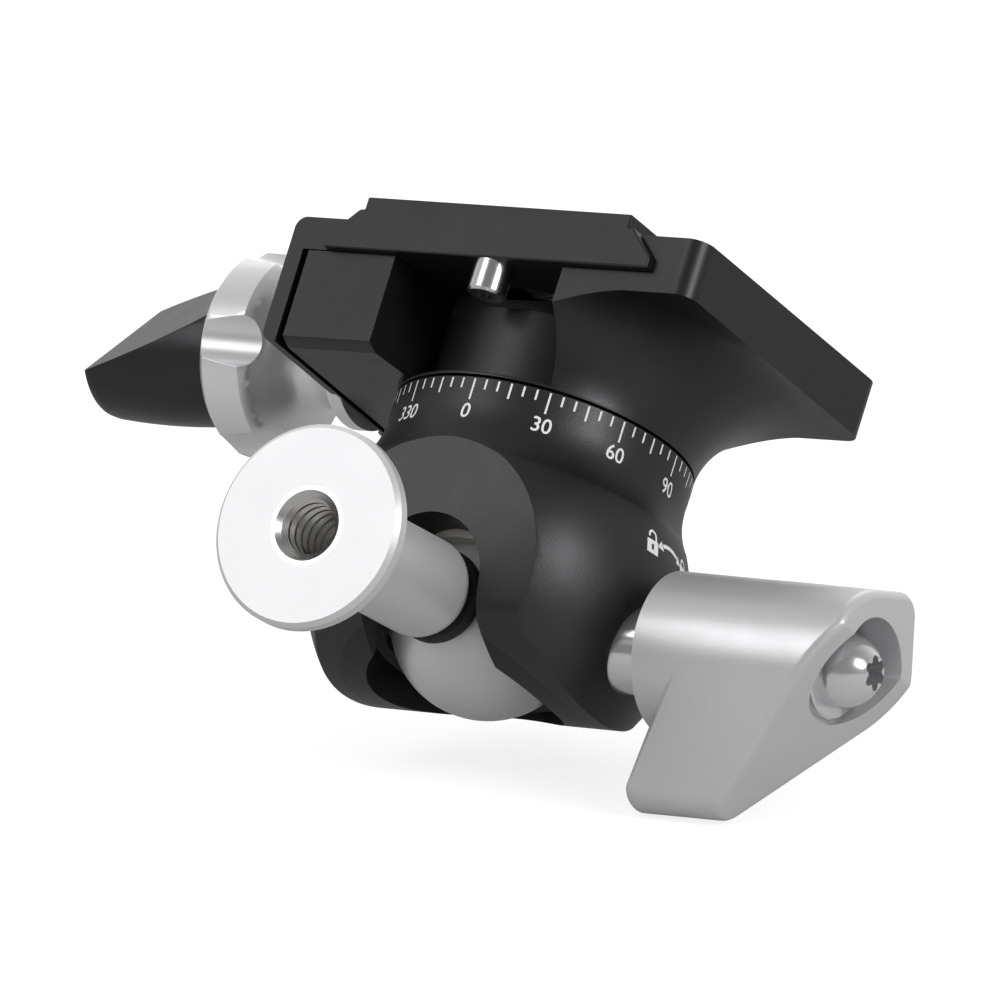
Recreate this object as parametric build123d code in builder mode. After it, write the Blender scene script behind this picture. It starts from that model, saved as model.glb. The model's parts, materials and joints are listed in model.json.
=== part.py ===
from build123d import *
from math import cos, radians, sin, sqrt
import os

# Inverted ball head with a panning dovetail clamp, in millimetres.
# The origin is the centre of the tripod disc's face and +Z is the pan axis.
# The head is drawn as it is packed: the stem lies down in the housing's notch.

# ---- driving sizes -------------------------------------------------------------------

# ball, stem and tripod disc
ball_r = 9.5
stem_r = 5.0
stem_reach = 36.5            # ball centre to disc face
stem_shoulder = 11.7         # ball centre to the stem's rounded shoulder
stem_round = 1.8
neck_r = 3.4                 # waist between shoulder and ball
neck_slope = 0.7             # the shoulder's end face falls by this much
bumper_gap = 0.9             # from the shoulder to the rubber ring
bumper_width = 1.4
bumper_r = 4.7
bumper_round = 0.5
disc_r = 10.2
disc_thick = 2.0
disc_bevel = 0.45
stem_dip = 9.6               # degrees below level, as packed

# tripod thread, 1/4 inch
quarter_inch_r = 6.35 / 2
quarter_tap_r = 2.6
insert_r = 4.0
insert_length = 9.0

# housing
seam_r = 15.0                # dial edge, where the clamp turns
dial_band = 2.0
shell_r = 18.5               # round belly
shell_drop = 16.0            # belly centre below the seam
ball_drop = 19.3             # ball centre below the seam
belly_start = 7.9            # where the waist meets the belly
waist_bulge = (15.3, 5.1)
housing_depth = 27.8
crown_thick = 4.5
cavity_gap = 0.35
face_from_ball = 13.6        # flat front face, square to the packed stem
bottom_r = 20.7              # the bottom is rounded about an axis across the head
bottom_centre = (-0.5, -7.1)
front_corner = 4.0
notch_r = 6.2
notch_dip = 4.3
notch_flare = 1.4
notch_run = 14.0

# retaining ring and lower race
ring_r = 12.6
ring_over_race = 0.1         # the ring's inner end, above the race
ring_skirt_r = 9.9
ring_lip_drop = 3.4          # lip's upper face below the ball centre
ring_lip_thick = 0.9
ring_lip_gap = 0.15
ring_skirt_slope = 0.6
race_r = 11.2
race_height = 1.7
seat_gap = 0.06
cup_wall_gap = 0.15
cup_height = 6.3
cup_top_gap = 1.5
cup_chamfer = 0.5

# ball lock
lock_drop = 20.6             # lock axis below the seam
pad_r = 3.1
pad_back = 12.6              # along the lock axis, from the pan axis
pad_front = 6.5
pad_chamfer = 0.3
bush_r = 4.45
bush_start = 13.0
bush_end = 21.25
bush_chamfer = 0.4
lock_shaft_r = 3.0
shaft_fit = 0.06
shaft_chamfer = 0.5
screw_gap = 0.3

# lock lever
lever_start = 21.4
lever_body_r = 8.0
lever_tip_r = 2.3
lever_tip_drop = 14.2
lever_tip_side = 0.3
lever_heel_r = 2.6
lever_heel_rise = 6.9
lever_heel_side = 2.6
lever_end = 43.8
lever_slant_start = 1.8      # above the axis
lever_tip_start = 21.0       # inner end of the blade's tip
lever_tip_end = 31.9
lever_inner_rake = 0.4       # inner face leans out by this much per millimetre
lever_edge = 0.9
lever_foot_round = 1.8       # on the blade's inner corner
recess_r = 5.4
recess_floor = 38.9
lock_screw_r = 2.0
lock_screw_length = 8.0
lock_screw_room = 1.0        # below the screw's end
lock_head_r = 3.7
lock_head_height = 4.3
lock_washer_r = 4.9
lock_washer_thick = 0.9
lock_washer_fit = 0.1
lock_washer_chamfer = 0.2
torx_r = 1.75
torx_lobe_r = 0.5

# pan joint
pan_angle = -4.0
seam_gap = 0.3
axle_r = 3.0
axle_fit = 0.07
axle_top = 3.6
axle_head_r = 5.4
axle_head_thick = 1.8
axle_chamfer = 0.3
axle_socket_depth = 2.8
axle_hex = 2.3
cone_spring_r = 6.2
cone_spring_rise = 0.45
cone_spring_thick = 0.35
cone_spring_fit = 0.2        # round the axle
pan_washer_r = 12.0
pan_washer_bore = 5.0
pan_washer_sunk = 0.8
washer_gap = 0.05

# clamp base and wing
clamp_half_depth = 17.0
wing_x = 24.0
wing_corner = 2.0
wing_under = 9.2
wing_reach = 23.5
horn_bulge = (17.6, 6.3)
foot_height = 0.6
jaw_top = 15.1
seat_height = 11.25
block_left = -21.2
block_under = 1.5
block_bevel = 1.4
block_bevel_rise = 0.63
neck_front_r = 12.2
recess_left = -11.0
recess_right = 8.6
recess_rake = 1.6
pocket_floor = 8.6
pocket_end = 8.0

# dovetail plate
plate_half_width = 19.0
plate_half_length = 18.0
plate_thick = 5.5
plate_lip = 1.2
plate_slope = 3.0
plate_step = 0.5
plate_gap = 0.05
slot_half_width = 3.35
slot_half_length = 8.0
slot_shoulder_width = 5.6
slot_shoulder_length = 10.4
slot_shoulder_depth = 1.9
camera_head_r = 5.2
camera_head_thick = 1.5
camera_thread_rise = 5.2
camera_neck_r = 2.5
coin_slot = 1.3
coin_slot_depth = 0.9
camera_head_chamfer = 0.3
camera_thread_chamfer = 0.6
stop_place = 15.95
stop_head_r = 1.95
stop_head_height = 3.2
stop_shank_r = 1.0
stop_shank_length = 3.0
stop_chamfer = 0.25
stop_driver_r = 1.15
stop_driver_lobe = 0.35
stop_driver_depth = 1.4
pad_strip_width = 3.4
pad_strip_length = 30.0
pad_strip_depth = 0.7
pad_strip_rise = 0.25
pad_strip_x = 11.0

# moving jaw
jaw_outer = -23.6
jaw_inner = -21.9
jaw_under = 1.5
jaw_height = 14.7
jaw_hook = 1.9
jaw_hook_lean = 0.4
jaw_round = 1.2
jaw_recess_r = 7.2
jaw_recess_depth = 1.4

# clamp screw, guide pins and springs
rod_height = 7.0
rod_r = 2.5
rod_inner_end = 12.0
rod_chamfer = 0.4
guide_r = 1.25
guide_fit = 0.05
guide_spacing = 11.0
guide_length = 10.0
guide_sunk = 0.4             # below the jaw's outer face
guide_chamfer = 0.3
spring_pocket_r = 2.3
spring_pocket_depth = 5.0
spring_wire_r = 0.22
spring_r = 1.78
spring_turns = 4

# clamp knob, five lobes
knob_foot_r = 6.6
knob_foot_height = 1.5
knob_waist_r = 4.7
knob_waist_at = 4.6
knob_flare_at = 8.6
knob_r = 9.9
knob_end = 14.3
knob_edge = 0.8
knob_lobes = 5
scallop_r = 3.0
scallop_place = 12.4
scallop_tilt = 14.0
knob_turn = 21.0
nut_r = 4.0
nut_length = 10.0

# locking wing behind the knob
wing_gap = 0.3
wing_r = 7.2
wing_length = 15.0
wing_flat_turn = 40.7        # the thumb flat's way, up from the front
wing_flat_high = 6.4         # above the axis, next to the knob
wing_flat_low = 0.6          # above the axis, at the outer end
wing_end_edge = 0.35
wing_bulge = 0.15            # the barrel swells by this much
wing_nose = 0.8              # length of the bevel at the outer end
rod_in_wing = 9.0

# ---- places --------------------------------------------------------------------------

dip = radians(stem_dip)
ball_place = Vector(0, stem_reach * cos(dip), stem_reach * sin(dip))
seam_place = Vector(0, ball_place.Y, ball_place.Z + ball_drop)

head = Location(seam_place)
clamp = head * Location((0, 0, 0), (0, 0, pan_angle))
stem = Location(Plane(origin=(0, 0, 0), x_dir=(1, 0, 0), z_dir=(0, cos(dip), sin(dip))))
lock = head * Location(Plane(origin=(0, 0, -lock_drop), x_dir=(0, 1, 0), z_dir=(1, 0, 0)))
knob_seat = jaw_outer + jaw_recess_depth - washer_gap
knob_axis = clamp * Location(
    Plane(origin=(knob_seat, 0, rod_height), x_dir=(0, 1, 0), z_dir=(-1, 0, 0))
)

# the notch and the flat front, in the housing's own frame
ball_point = Vector(0, 0, -ball_drop)
notch_way = Vector(0, -cos(radians(notch_dip)), -sin(radians(notch_dip)))
notch_plane = Plane(origin=ball_point, x_dir=(1, 0, 0), z_dir=notch_way)

os.makedirs("parts", exist_ok=True)


def save(maker, name, place):
    """Label a finished piece and write it where it stands in the whole head."""
    piece = maker.part.moved(place)
    piece.label = name
    export_step(piece, f"parts/{name}.step")


def drawn(points):
    """A closed outline through the points given."""
    Polygon(*points, align=None)


def trim_to_housing():
    """Cut the part being built by the flat front, the rounded bottom and the notch."""
    front_top = -(face_from_ball + sin(dip) * ball_drop) / cos(dip)
    front_low = -(face_from_ball + sin(dip) * (ball_drop - 2 * housing_depth)) / cos(dip)
    with BuildSketch(Plane.YZ) as side_view:
        with Locations(bottom_centre):
            Circle(bottom_r)
        with Locations((bottom_centre[0], 0)):
            Rectangle(2 * bottom_r, -2 * bottom_centre[1])
        with BuildSketch(mode=Mode.PRIVATE) as behind_face:
            drawn([
                (front_top, 0), (2 * bottom_r, 0), (2 * bottom_r, -2 * housing_depth),
                (front_low, -2 * housing_depth),
            ])
        add(behind_face.sketch, mode=Mode.INTERSECT)
        lowest_front = side_view.vertices().sort_by(Axis.Y)[0]
        fillet(lowest_front, front_corner)
    extrude(side_view.sketch, amount=2 * shell_r, both=True, mode=Mode.INTERSECT)
    with BuildSketch(notch_plane) as notch:
        Circle(notch_r)
        drawn([
            (-notch_r, 0),
            (notch_r, 0),
            (notch_r + notch_flare, -notch_run),
            (-notch_r - notch_flare, -notch_run),
        ])
    extrude(notch.sketch, amount=2 * face_from_ball, mode=Mode.SUBTRACT)


def six_lobes(outer, lobe):
    """A six-lobed driver recess."""
    Circle(outer - lobe)
    with PolarLocations(outer - lobe, 6):
        Circle(lobe)


# ---- ball, stem and disc (built up from the disc's face) -----------------------------

with BuildPart() as ball_stem:
    with BuildSketch(Plane.XZ):
        with BuildLine():
            shoulder = stem_reach - stem_shoulder
            junction = stem_reach - sqrt(ball_r**2 - neck_r**2)
            Polyline(
                (0, 0), (disc_r - disc_bevel, 0), (disc_r, disc_bevel),
                (disc_r, disc_thick - disc_bevel), (disc_r - disc_bevel, disc_thick),
                (stem_r, disc_thick), (stem_r, shoulder - stem_round),
            )
            RadiusArc((stem_r, shoulder - stem_round), (stem_r - stem_round / 2, shoulder), -stem_round * 1.6)
            Polyline((stem_r - stem_round / 2, shoulder), (neck_r, shoulder + neck_slope), (neck_r, junction))
            ThreePointArc((neck_r, junction), (ball_r, stem_reach), (0, stem_reach + ball_r))
            Line((0, stem_reach + ball_r), (0, 0))
        make_face()
    revolve(axis=Axis.Z)
    with BuildSketch(Plane.XY):
        Circle(insert_r)
    extrude(amount=insert_length, mode=Mode.SUBTRACT)
save(ball_stem, "ball_stem", stem)

with BuildPart() as bumper_ring:
    with BuildSketch(Plane.XY.offset(stem_reach - stem_shoulder + bumper_gap)):
        Circle(bumper_r)
        Circle(neck_r + shaft_fit, mode=Mode.SUBTRACT)
    extrude(amount=bumper_width)
    fillet(bumper_ring.edges().filter_by(GeomType.CIRCLE).sort_by(SortBy.RADIUS)[-2:], bumper_round)
save(bumper_ring, "bumper_ring", stem)

with BuildPart() as thread_insert:
    with BuildSketch(Plane.XY):
        Circle(insert_r)
        Circle(quarter_tap_r, mode=Mode.SUBTRACT)
    extrude(amount=insert_length)
    mouth = thread_insert.edges().filter_by(GeomType.CIRCLE).group_by(Axis.Z)[0].sort_by(SortBy.RADIUS)[0]
    chamfer(mouth, quarter_inch_r - quarter_tap_r)
save(thread_insert, "thread_insert", stem)

# ---- housing and what holds the ball (frame: pan axis, seam plane) -------------------

belly_r = sqrt(shell_r**2 - (shell_drop - belly_start) ** 2)
foot_r = sqrt(shell_r**2 - (housing_depth - shell_drop) ** 2)
lip_top = ball_drop + ring_lip_drop
ring_top = lip_top - race_height - ring_over_race
cavity_r = ball_r + cavity_gap

with BuildPart() as housing:
    with BuildSketch(Plane.XZ):
        with BuildLine():
            Polyline((0, -housing_depth), (0, 0), (seam_r, 0), (seam_r, -dial_band))
            ThreePointArc(
                (seam_r, -dial_band), (waist_bulge[0], -waist_bulge[1]), (belly_r, -belly_start)
            )
            ThreePointArc((belly_r, -belly_start), (shell_r, -shell_drop), (foot_r, -housing_depth))
            Line((foot_r, -housing_depth), (0, -housing_depth))
        make_face()
    revolve(axis=Axis.Z)
    with BuildSketch(Plane.XZ):
        drawn([
            (0, -housing_depth), (ring_r, -housing_depth), (ring_r, -ring_top),
            (cavity_r, -ring_top), (cavity_r, -crown_thick), (0, -crown_thick),
        ])
    revolve(axis=Axis.Z, mode=Mode.SUBTRACT)
    with BuildSketch(Plane.XY):
        Circle(pan_washer_r + washer_gap)
    extrude(amount=-pan_washer_sunk, mode=Mode.SUBTRACT)
    with BuildSketch(Plane.XY):
        Circle(axle_r + axle_fit)
    extrude(amount=-crown_thick, mode=Mode.SUBTRACT)
    trim_to_housing()
    with BuildSketch(Plane(origin=(0, 0, -lock_drop), x_dir=(0, 1, 0), z_dir=(1, 0, 0))):
        Circle(pad_r + shaft_fit)
    extrude(amount=shell_r, mode=Mode.SUBTRACT)
    with BuildSketch(Plane(origin=(bush_start, 0, -lock_drop), x_dir=(0, 1, 0), z_dir=(1, 0, 0))):
        Circle(bush_r)
    extrude(amount=shell_r, mode=Mode.SUBTRACT)
save(housing, "housing", head)

lip_r = sqrt(ball_r**2 - ring_lip_drop**2) + ring_lip_gap
with BuildPart() as retaining_ring:
    with BuildSketch(Plane.XZ):
        drawn([
            (ring_r, -housing_depth), (ring_r, -ring_top), (race_r, -ring_top), (race_r, -lip_top),
            (lip_r, -lip_top), (lip_r, -lip_top - ring_lip_thick),
            (ring_skirt_r, -lip_top - ring_lip_thick - ring_skirt_slope), (ring_skirt_r, -housing_depth),
        ])
    revolve(axis=Axis.Z)
    trim_to_housing()
    with BuildSketch(Plane(origin=(0, 0, -lock_drop), x_dir=(0, 1, 0), z_dir=(1, 0, 0))):
        Circle(pad_r + shaft_fit)
    extrude(amount=shell_r, mode=Mode.SUBTRACT)
save(retaining_ring, "retaining_ring", head)

with BuildPart() as lower_race:
    with BuildSketch(Plane.XZ):
        drawn([
            (lip_r, -lip_top), (race_r, -lip_top),
            (race_r, -lip_top + race_height), (lip_r, -lip_top + race_height),
        ])
    revolve(axis=Axis.Z)
    with Locations((0, 0, -ball_drop)):
        Sphere(ball_r + seat_gap, mode=Mode.SUBTRACT)
    trim_to_housing()
    with BuildSketch(Plane(origin=(0, 0, -lock_drop), x_dir=(0, 1, 0), z_dir=(1, 0, 0))):
        Circle(pad_r + shaft_fit)
    extrude(amount=shell_r, mode=Mode.SUBTRACT)
    with Locations((race_r, -race_r, -lip_top)):
        Box(2 * race_r, 2 * race_r, 4 * race_height, mode=Mode.SUBTRACT)
save(lower_race, "lower_race", head)

cup_top = ball_drop - ball_r - cup_top_gap
with BuildPart() as pressure_cup:
    with BuildSketch(Plane.XY.offset(-cup_top)):
        Circle(cavity_r - cup_wall_gap)
    extrude(amount=-cup_height)
    with Locations((0, 0, -ball_drop)):
        Sphere(ball_r + seat_gap, mode=Mode.SUBTRACT)
    rim = pressure_cup.edges().filter_by(GeomType.CIRCLE).group_by(Axis.Z)[-1]
    chamfer(rim, cup_chamfer)
save(pressure_cup, "pressure_cup", head)

# ---- ball lock (frame: lock axis, outwards) ------------------------------------------

with BuildPart() as brake_pad:
    with BuildSketch(Plane.XY.offset(pad_front)):
        Circle(pad_r)
    extrude(amount=pad_back - pad_front)
    with Locations((0, lock_drop - ball_drop, 0)):
        Sphere(ball_r + seat_gap, mode=Mode.SUBTRACT)
    chamfer(brake_pad.edges().filter_by(GeomType.CIRCLE).group_by(Axis.Z)[-1], pad_chamfer)
save(brake_pad, "brake_pad", lock)

with BuildPart() as lock_bush:
    with BuildSketch(Plane.XY.offset(bush_start)):
        Circle(bush_r)
        Circle(lock_shaft_r + shaft_fit, mode=Mode.SUBTRACT)
    extrude(amount=bush_end - bush_start)
    outer_rims = lock_bush.edges().filter_by(GeomType.CIRCLE).group_by(Axis.Z)[-1]
    chamfer(outer_rims.sort_by(SortBy.RADIUS)[-1], bush_chamfer)
save(lock_bush, "lock_bush", lock)

shaft_end = recess_floor
with BuildPart() as lock_shaft:
    with BuildSketch(Plane.XY.offset(pad_back + screw_gap)):
        Circle(lock_shaft_r)
    extrude(amount=shaft_end - pad_back - screw_gap)
    chamfer(lock_shaft.edges().filter_by(GeomType.CIRCLE).group_by(Axis.Z)[0], shaft_chamfer)
    with BuildSketch(Plane.XY.offset(shaft_end)):
        Circle(lock_screw_r)
    extrude(amount=-lock_screw_length - lock_screw_room, mode=Mode.SUBTRACT)
save(lock_shaft, "lock_shaft", lock)


def blade_outline(hub, tip_r, tip_at, heel_r, heel_at):
    """Hub, blade tip and heel rolled together into one comma-shaped section."""
    with BuildSketch(mode=Mode.PRIVATE) as rounds:
        Circle(hub)
        with Locations(tip_at):
            Circle(tip_r)
        with Locations(heel_at):
            Circle(heel_r)
    make_hull(rounds.sketch.edges())


# the lever's blade hangs down from the lock axis; y is up in its section plane
lever_low = -lever_tip_drop - lever_tip_r
lever_high = lever_body_r + lever_heel_r
with BuildPart() as lock_lever:
    with BuildSketch(Plane.XY.offset(lever_tip_start - 2.0)):
        blade_outline(
            lever_body_r, lever_tip_r, (lever_tip_side, -lever_tip_drop),
            lever_heel_r, (lever_heel_side, lever_heel_rise),
        )
    extrude(amount=lever_end - lever_tip_start + 2.0)
    with BuildSketch(Plane.YZ):
        slope = (lever_end - lever_tip_end) / (lever_slant_start - lever_low)
        drawn([
            (lever_low - 1, lever_tip_start - lever_inner_rake * (lever_tip_r + 1)),
            (lever_high, lever_tip_start + lever_inner_rake * (lever_high + lever_tip_drop)),
            (lever_high, lever_end), (lever_slant_start, lever_end),
            (lever_low - 1, lever_tip_end - slope),
        ])
    extrude(amount=2 * lever_body_r, both=True, mode=Mode.INTERSECT)
    outer_faces = lock_lever.faces().filter_by(GeomType.PLANE).filter_by(
        lambda f: f.normal_at().Z > 0.3
    )
    fillet(outer_faces.edges(), lever_edge)
    inner_face = lock_lever.faces().filter_by(GeomType.PLANE).sort_by(SortBy.AREA)[-1]
    inner_foot = inner_face.edges().sort_by_distance((lever_tip_side, lever_low, lever_tip_start))[0]
    fillet(inner_foot, lever_foot_round)
    with BuildSketch(Plane.XY.offset(lever_start)):
        Circle(lever_body_r)
    extrude(amount=lever_body_r + 1.0)
    with BuildSketch(Plane.XY.offset(lever_start)):
        Circle(lock_shaft_r)
    extrude(amount=lever_end, mode=Mode.SUBTRACT)
    with BuildSketch(Plane.XY.offset(recess_floor)):
        Circle(recess_r)
    extrude(amount=lever_end, mode=Mode.SUBTRACT)
save(lock_lever, "lock_lever", lock)

washer_top = recess_floor + lock_washer_thick
with BuildPart() as lever_washer:
    with BuildSketch(Plane.XY.offset(recess_floor)):
        Circle(lock_washer_r)
        Circle(lock_screw_r + lock_washer_fit, mode=Mode.SUBTRACT)
    extrude(amount=lock_washer_thick)
    chamfer(lever_washer.edges().filter_by(GeomType.CIRCLE).group_by(Axis.Z)[-1], lock_washer_chamfer)
save(lever_washer, "lever_washer", lock)


def button_screw(shank_r, shank_length, seat, head_r, head_height, driver_r, lobe_r):
    """A domed button head over a plain shank, with a six-lobed recess."""
    with BuildPart() as screw:
        with BuildSketch(Plane.XZ):
            with BuildLine():
                Polyline(
                    (0, seat + head_height), (0, seat - shank_length), (shank_r, seat - shank_length),
                    (shank_r, seat), (head_r, seat),
                )
                Line((head_r, seat), (head_r, seat + 0.25 * head_height))
                ThreePointArc(
                    (head_r, seat + 0.25 * head_height), (0.78 * head_r, seat + 0.74 * head_height),
                    (0.45 * head_r, seat + head_height),
                )
                Line((0.45 * head_r, seat + head_height), (0, seat + head_height))
            make_face()
        revolve(axis=Axis.Z)
        with BuildSketch(Plane.XY.offset(seat + head_height)):
            six_lobes(driver_r, lobe_r)
        extrude(amount=-0.7 * head_height, mode=Mode.SUBTRACT)
    return screw


lever_screw = button_screw(
    lock_screw_r, lock_screw_length, washer_top, lock_head_r, lock_head_height, torx_r, torx_lobe_r
)
save(lever_screw, "lever_screw", lock)

# ---- pan joint -----------------------------------------------------------------------

with BuildPart() as pan_washer:
    with BuildSketch(Plane.XY.offset(-pan_washer_sunk)):
        Circle(pan_washer_r)
        Circle(pan_washer_bore, mode=Mode.SUBTRACT)
    extrude(amount=pan_washer_sunk + seam_gap - washer_gap)
save(pan_washer, "pan_washer", head)

spring_top = crown_thick + washer_gap
spring_bottom = spring_top + cone_spring_rise + cone_spring_thick
with BuildPart() as pan_spring:
    with BuildSketch(Plane.XZ):
        drawn([
            (axle_r + cone_spring_fit, -spring_bottom),
            (cone_spring_r, -spring_bottom + cone_spring_rise),
            (cone_spring_r, -spring_top),
            (axle_r + cone_spring_fit, -spring_top - cone_spring_rise),
        ])
    revolve(axis=Axis.Z)
save(pan_spring, "pan_spring", clamp)

with BuildPart() as pan_axle:
    head_top = spring_bottom
    with BuildSketch(Plane.XY.offset(axle_top)):
        Circle(axle_r)
    extrude(amount=-axle_top - head_top)
    with BuildSketch(Plane.XY.offset(-head_top)):
        Circle(axle_head_r)
    extrude(amount=-axle_head_thick)
    chamfer(pan_axle.edges().filter_by(GeomType.CIRCLE).group_by(Axis.Z)[0], axle_chamfer)
    with BuildSketch(Plane.XY.offset(-head_top - axle_head_thick)):
        RegularPolygon(axle_hex, 6)
    extrude(amount=axle_socket_depth, mode=Mode.SUBTRACT)
save(pan_axle, "pan_axle", clamp)

# ---- clamp base with its horn-shaped wing (frame: pan axis, seam, turned) ------------

jaw_wall = plate_half_width + 2 * plate_gap
lip_height = seat_height + plate_lip + plate_gap
with BuildPart() as clamp_base:
    with BuildSketch(Plane.XZ):
        with BuildLine():
            Polyline((0, jaw_top), (0, seam_gap), (seam_r, seam_gap), (seam_r, foot_height))
            ThreePointArc((seam_r, foot_height), horn_bulge, (wing_reach, wing_under))
            outer = wing_x + clamp_half_depth
            Polyline((wing_reach, wing_under), (outer, wing_under), (outer, jaw_top), (0, jaw_top))
        make_face()
    revolve(axis=Axis.Z)
    with BuildSketch(Plane.XY.offset(seam_gap)) as plan:
        drawn([
            (0, -clamp_half_depth), (wing_x, -clamp_half_depth),
            (wing_x, clamp_half_depth), (0, clamp_half_depth),
        ])
        fillet(plan.vertices().group_by(Axis.X)[-1], wing_corner)
        drawn([(block_left, -clamp_half_depth), (1, -clamp_half_depth),
               (1, clamp_half_depth), (block_left, clamp_half_depth)])
    extrude(amount=jaw_top, mode=Mode.INTERSECT)
    with BuildSketch(Plane.XZ):
        drawn([
            (block_left, block_under), (-neck_front_r / 2, block_under),
            (-neck_front_r / 2, seat_height), (block_left, seat_height),
        ])
    extrude(amount=clamp_half_depth, both=True)
    left_under = clamp_base.edges().filter_by(Axis.X).filter_by(
        lambda e: abs(e.center().Z - block_under) < 0.01 and abs(abs(e.center().Y) - clamp_half_depth) < 0.01
    )
    chamfer(left_under, block_bevel, block_bevel_rise)
    with BuildSketch(Plane.XZ):
        drawn([
            (block_left - 1, seat_height), (jaw_wall, seat_height), (jaw_wall, lip_height),
            (jaw_wall - (jaw_top - lip_height), jaw_top), (block_left - 1, jaw_top),
        ])
    extrude(amount=clamp_half_depth, both=True, mode=Mode.SUBTRACT)
    for side in (-1, 1):
        with BuildSketch(Plane.XY.offset(foot_height)):
            drawn([
                (recess_left, side * clamp_half_depth), (recess_left + recess_rake, 0),
                (recess_right - recess_rake, 0), (recess_right, side * clamp_half_depth),
                (recess_right, side * 2 * clamp_half_depth), (recess_left, side * 2 * clamp_half_depth),
            ])
            Circle(neck_front_r, mode=Mode.SUBTRACT)
        extrude(amount=jaw_top, mode=Mode.SUBTRACT)
        with BuildSketch(Plane.XY.offset(pocket_floor)):
            drawn([
                (recess_left + recess_rake, side * pocket_end),
                (recess_right - recess_rake, side * pocket_end),
                (recess_right - recess_rake, side * 2 * clamp_half_depth),
                (recess_left + recess_rake, side * 2 * clamp_half_depth),
            ])
        extrude(amount=jaw_top, mode=Mode.SUBTRACT)
    with BuildSketch(Plane(origin=(block_left, 0, rod_height), x_dir=(0, 1, 0), z_dir=(1, 0, 0))):
        Circle(rod_r)
    extrude(amount=rod_inner_end - block_left, mode=Mode.SUBTRACT)
    with BuildSketch(Plane(origin=(block_left, 0, rod_height), x_dir=(0, 1, 0), z_dir=(1, 0, 0))):
        with Locations((-guide_spacing, 0), (guide_spacing, 0)):
            Circle(guide_r + guide_fit)
    extrude(amount=guide_length, mode=Mode.SUBTRACT)
    with BuildSketch(Plane(origin=(block_left, 0, rod_height), x_dir=(0, 1, 0), z_dir=(1, 0, 0))):
        with Locations((-guide_spacing, 0), (guide_spacing, 0)):
            Circle(spring_pocket_r)
    extrude(amount=spring_pocket_depth, mode=Mode.SUBTRACT)
    with BuildSketch(Plane.XY.offset(seam_gap)):
        Circle(axle_r)
    extrude(amount=axle_top - seam_gap, mode=Mode.SUBTRACT)
save(clamp_base, "clamp_base", clamp)

# ---- moving jaw, guide pins and springs ----------------------------------------------

with BuildPart() as moving_jaw:
    hook_in = -jaw_wall
    hook_under = seat_height + 2 * plate_gap
    with BuildSketch(Plane.XZ):
        drawn([
            (jaw_outer, jaw_under), (jaw_inner, jaw_under), (jaw_inner, hook_under),
            (hook_in, hook_under), (hook_in, lip_height),
            (hook_in + jaw_hook, lip_height + jaw_hook), (hook_in + jaw_hook - jaw_hook_lean, jaw_height),
            (jaw_outer, jaw_height),
        ])
    extrude(amount=clamp_half_depth, both=True)
    outside = moving_jaw.edges().filter_by(Axis.Y).group_by(Axis.X)[0]
    fillet(outside, jaw_round)
    with BuildSketch(Plane(origin=(jaw_outer, 0, rod_height), x_dir=(0, 1, 0), z_dir=(1, 0, 0))):
        Circle(jaw_recess_r)
    extrude(amount=jaw_recess_depth, mode=Mode.SUBTRACT)
    with BuildSketch(Plane(origin=(jaw_outer, 0, rod_height), x_dir=(0, 1, 0), z_dir=(1, 0, 0))):
        Circle(rod_r + guide_fit)
        with Locations((-guide_spacing, 0), (guide_spacing, 0)):
            Circle(guide_r)
    extrude(amount=jaw_inner - jaw_outer, mode=Mode.SUBTRACT)
save(moving_jaw, "moving_jaw", clamp)

with BuildPart() as guide_pins:
    with BuildSketch(Plane(origin=(jaw_outer + guide_sunk, 0, rod_height), x_dir=(0, 1, 0), z_dir=(1, 0, 0))):
        with Locations((-guide_spacing, 0), (guide_spacing, 0)):
            Circle(guide_r)
    extrude(amount=guide_length)
    chamfer(guide_pins.edges().filter_by(GeomType.CIRCLE).group_by(Axis.X)[-1], guide_chamfer)
save(guide_pins, "guide_pins", clamp)

spring_height = spring_pocket_depth + (block_left - jaw_inner) - 4 * spring_wire_r
with BuildPart() as jaw_springs:
    coil_start = block_left + spring_pocket_depth - 2 * spring_wire_r
    for side in (-1, 1):
        with BuildLine() as coil:
            Helix(
                pitch=spring_height / spring_turns, height=spring_height, radius=spring_r,
                center=(coil_start, side * guide_spacing, rod_height), direction=(-1, 0, 0),
            )
        with BuildSketch(coil.line ^ 0):
            Circle(spring_wire_r)
        sweep(path=coil.line, is_frenet=True)
spring_gap = spring_height / spring_turns - 2 * spring_wire_r
print("gap between spring turns", round(spring_gap, 2))
save(jaw_springs, "jaw_springs", clamp)

with BuildPart() as clamp_rod:
    rod_out = knob_seat - knob_end - wing_gap - rod_in_wing
    with BuildSketch(Plane(origin=(rod_out, 0, rod_height), x_dir=(0, 1, 0), z_dir=(1, 0, 0))):
        Circle(rod_r)
    extrude(amount=rod_inner_end - rod_out)
    chamfer(clamp_rod.edges().filter_by(GeomType.CIRCLE), rod_chamfer)
save(clamp_rod, "clamp_rod", clamp)

# ---- clamp knob and locking wing (frame: clamp screw, outwards) -----------------------

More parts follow.
